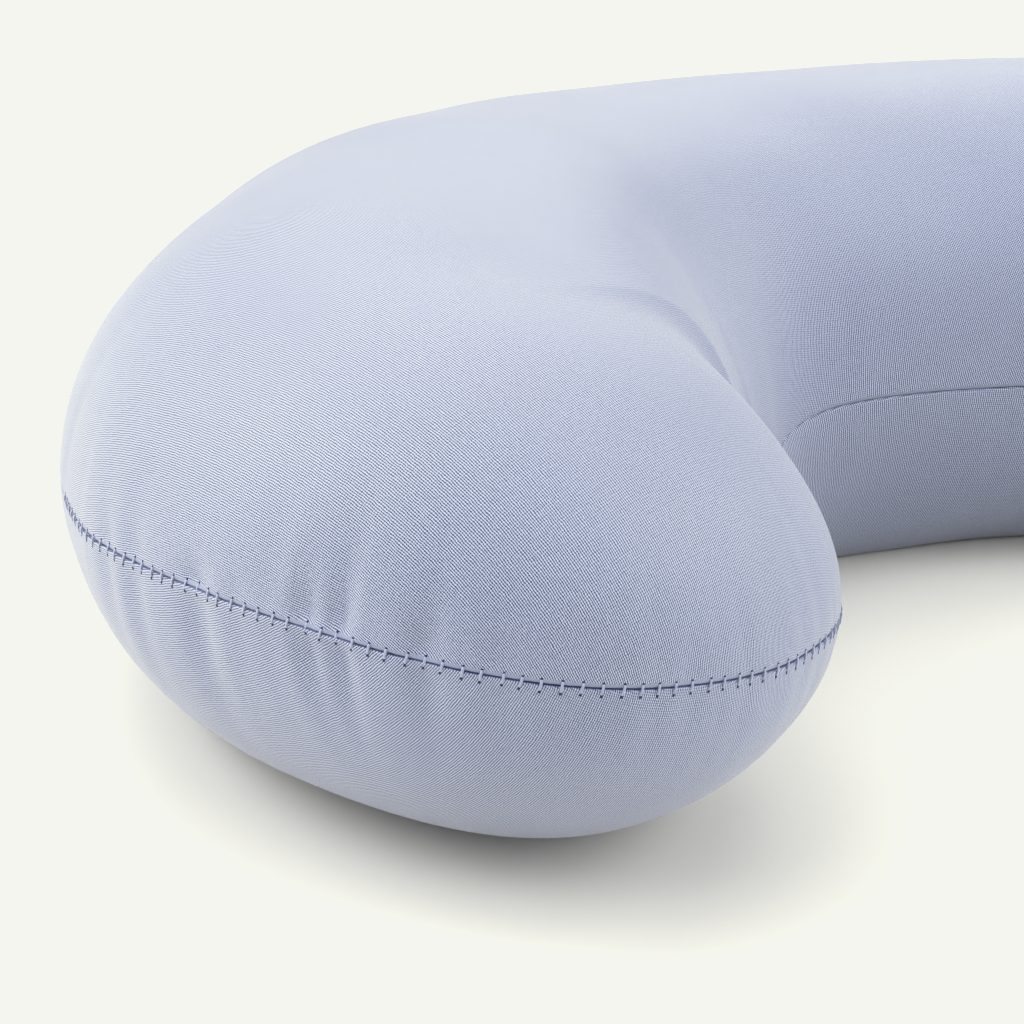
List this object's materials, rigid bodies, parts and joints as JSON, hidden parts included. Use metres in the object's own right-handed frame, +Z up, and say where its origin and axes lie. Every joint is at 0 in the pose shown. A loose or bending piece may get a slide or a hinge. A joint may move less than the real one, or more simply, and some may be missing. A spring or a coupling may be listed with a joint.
{
  "type": "wave support pillow",
  "caption": "Long tubular body pillow in the outline of a wave with hooked ends, filled firm and closed by an all-round edge seam.",
  "frame": {"origin": "on the resting surface, under the middle of the pillow", "axes": "+X along the length of the wave, away from the end that the picture shows; +Z up, away from the resting surface; +Y across the wave"},
  "size_m": [1.0358, 0.7204, 0.1738],
  "materials": {
    "cloth": "smooth satin-twill stretch cloth with a soft sheen"
  },
  "bodies": {
    "root": {"pillow": "cloth"}
  },
  "joints": []
}
